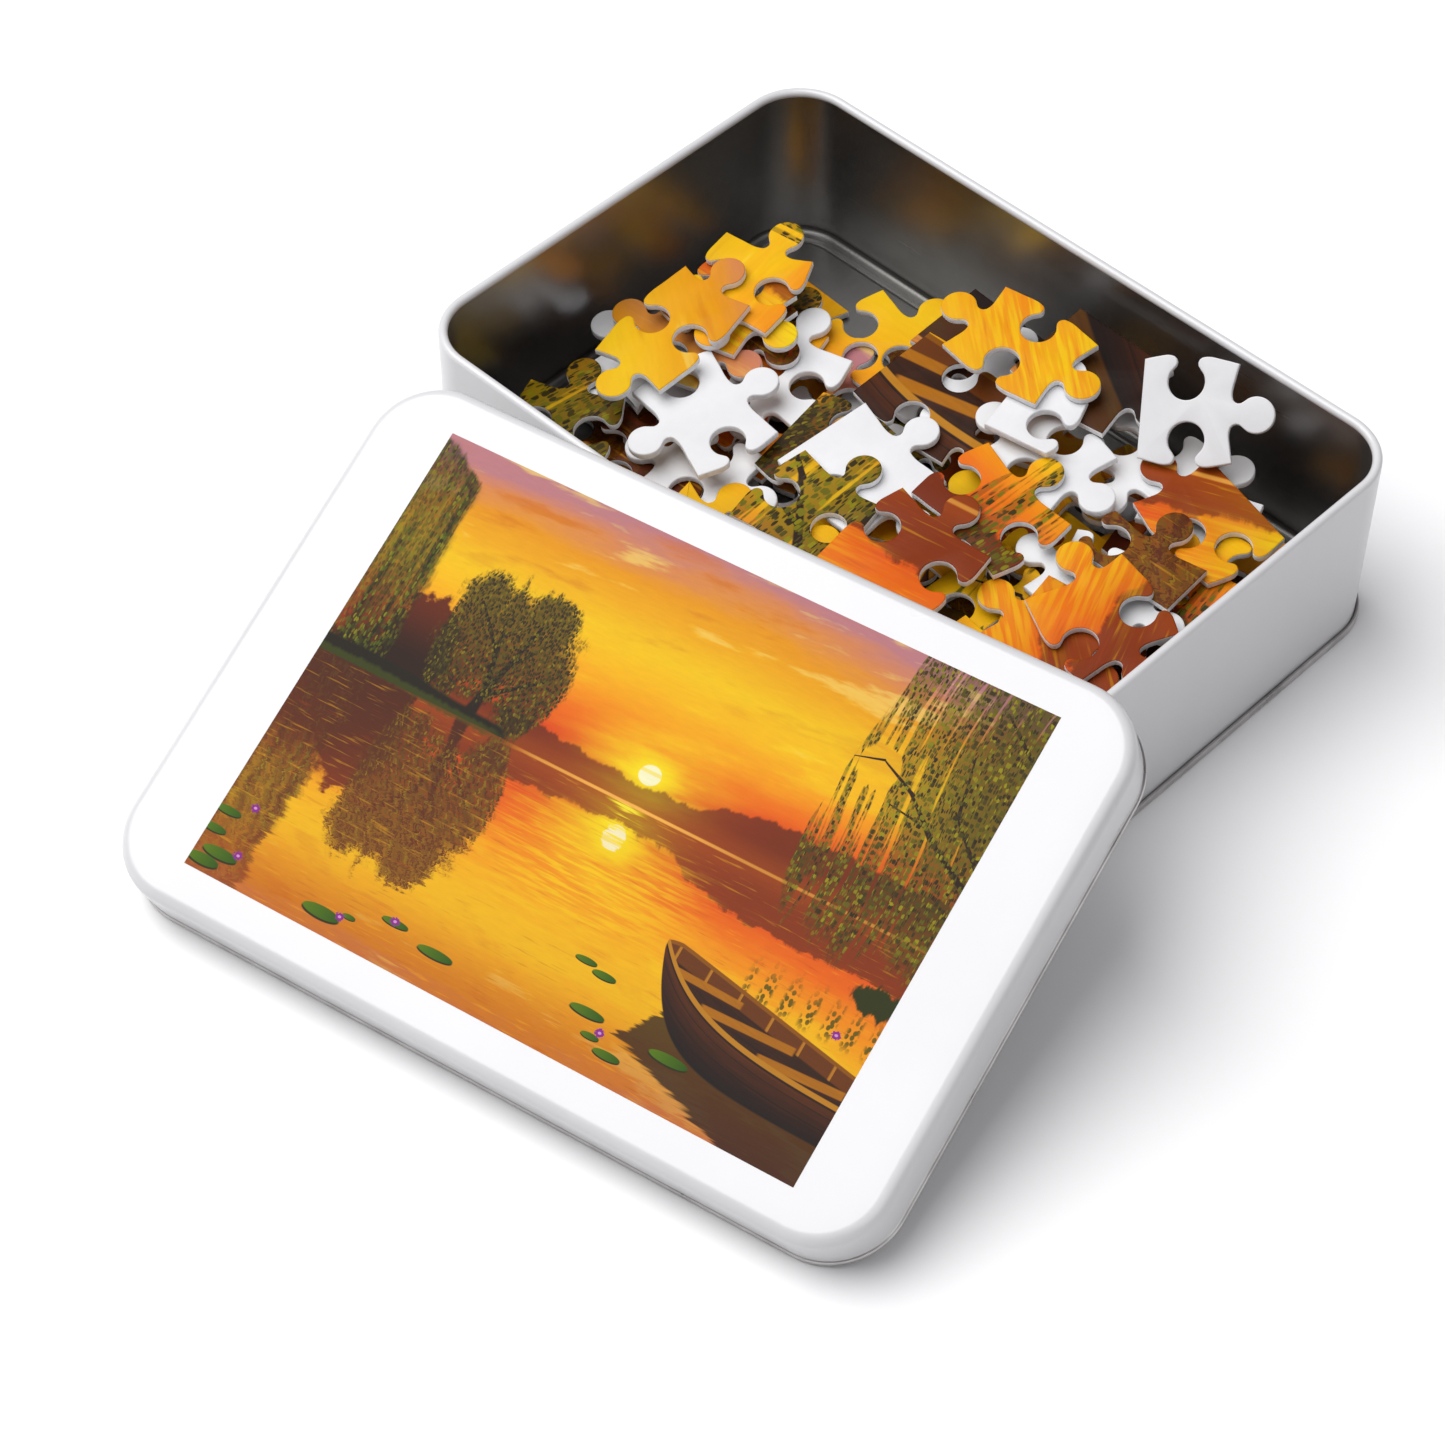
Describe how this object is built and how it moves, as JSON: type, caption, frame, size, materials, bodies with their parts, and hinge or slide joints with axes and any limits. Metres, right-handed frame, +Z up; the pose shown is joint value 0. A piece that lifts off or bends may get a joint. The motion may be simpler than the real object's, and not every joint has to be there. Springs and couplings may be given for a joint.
{
  "type": "boxed jigsaw puzzle",
  "caption": "Rolled-rim tin box full of loose interlocking board pieces, with its shallow picture lid off and leaning on the front corner",
  "frame": {"origin": "centre of the tin's footprint, on the flat underside of its base seam", "axes": "+Z up out of the open tin, +X along the tin's long side, +Y towards its back wall; the lid lies in front, at -Y"},
  "size_m": [0.2312, 0.2656, 0.0642],
  "materials": {
    "coat": "white gloss lacquer",
    "tinplate": "bare tinplate, dull",
    "print": "printed sunset picture under gloss varnish",
    "back": "white-lined grey board",
    "board_gold": "printed and varnished board",
    "board_leaf": "printed and varnished board",
    "board_orange": "printed and varnished board",
    "board_red": "printed and varnished board",
    "board_dusk": "printed and varnished board"
  },
  "bodies": {
    "tin": {"tin_wall": "coat", "tin_base": "tinplate", "base_seam": "tinplate"},
    "lid": {"lid_shell": "coat", "lid_hem": "tinplate", "lid_print": "print"},
    "heap_low": {"layer_1": "board_gold", "layer_2": "board_gold", "layer_3": "board_gold", "layer_4": "board_gold", "layer_5": "board_gold"},
    "heap_mid": {"piece_03": "board_leaf", "piece_04": "board_orange", "piece_05": "back", "piece_06": "board_red", "piece_07": "board_orange", "piece_08": "board_dusk", "piece_09": "back", "piece_11": "back", "piece_12": "board_dusk", "piece_14": "board_leaf", "piece_15": "back", "piece_18": "board_leaf", "piece_19": "back", "piece_22": "board_gold", "piece_23": "board_dusk", "piece_24": "board_dusk", "piece_25": "back", "piece_26": "back", "piece_27": "board_orange", "piece_30": "board_red", "piece_31": "board_gold", "piece_32": "board_orange", "piece_33": "back", "piece_34": "board_dusk", "piece_35": "back", "piece_36": "board_gold", "piece_37": "board_gold", "piece_38": "board_orange", "piece_39": "board_gold", "piece_40": "board_red", "piece_41": "board_orange"},
    "top_left_1": {"piece_10": "back"},
    "top_left_2": {"piece_01": "board_gold"},
    "top_left_3": {"piece_02": "board_gold"},
    "front_1": {"piece_13": "board_orange"},
    "front_2": {"piece_16": "board_leaf"},
    "front_3": {"piece_17": "board_red"},
    "back_1": {"piece_20": "back"},
    "back_2": {"piece_21": "board_gold"},
    "right_1": {"piece_28": "board_leaf"},
    "right_2": {"piece_29": "board_red"},
    "upright": {"piece_upright": "back"}
  },
  "joints": [
    {"name": "lid_lift", "type": "slide", "parent": "tin", "child": "lid", "axis": [0, 0, 1], "range_m": [0, 0.07]},
    {"name": "heap_low_lift", "type": "slide", "parent": "tin", "child": "heap_low", "axis": [0, 0, 1], "range_m": [0, 0.07]},
    {"name": "heap_mid_lift", "type": "slide", "parent": "heap_low", "child": "heap_mid", "axis": [0, 0, 1], "range_m": [0, 0.06]},
    {"name": "top_left_1_lift", "type": "slide", "parent": "heap_mid", "child": "top_left_1", "axis": [0, 0, 1], "range_m": [0, 0.05]},
    {"name": "top_left_2_lift", "type": "slide", "parent": "top_left_1", "child": "top_left_2", "axis": [0, 0, 1], "range_m": [0, 0.03]},
    {"name": "top_left_3_lift", "type": "slide", "parent": "top_left_2", "child": "top_left_3", "axis": [0, 0, 1], "range_m": [0, 0.03]},
    {"name": "front_1_lift", "type": "slide", "parent": "heap_mid", "child": "front_1", "axis": [0, 0, 1], "range_m": [0, 0.05]},
    {"name": "front_2_lift", "type": "slide", "parent": "front_1", "child": "front_2", "axis": [0, 0, 1], "range_m": [0, 0.03]},
    {"name": "front_3_lift", "type": "slide", "parent": "front_2", "child": "front_3", "axis": [0, 0, 1], "range_m": [0, 0.03]},
    {"name": "back_1_lift", "type": "slide", "parent": "heap_mid", "child": "back_1", "axis": [0, 0, 1], "range_m": [0, 0.05]},
    {"name": "back_2_lift", "type": "slide", "parent": "back_1", "child": "back_2", "axis": [0, 0, 1], "range_m": [0, 0.03]},
    {"name": "right_1_lift", "type": "slide", "parent": "heap_mid", "child": "right_1", "axis": [0, 0, 1], "range_m": [0, 0.05]},
    {"name": "right_2_lift", "type": "slide", "parent": "right_1", "child": "right_2", "axis": [0, 0, 1], "range_m": [0, 0.03]},
    {"name": "upright_lift", "type": "slide", "parent": "heap_mid", "child": "upright", "axis": [0, 0, 1], "range_m": [0, 0.05]}
  ]
}
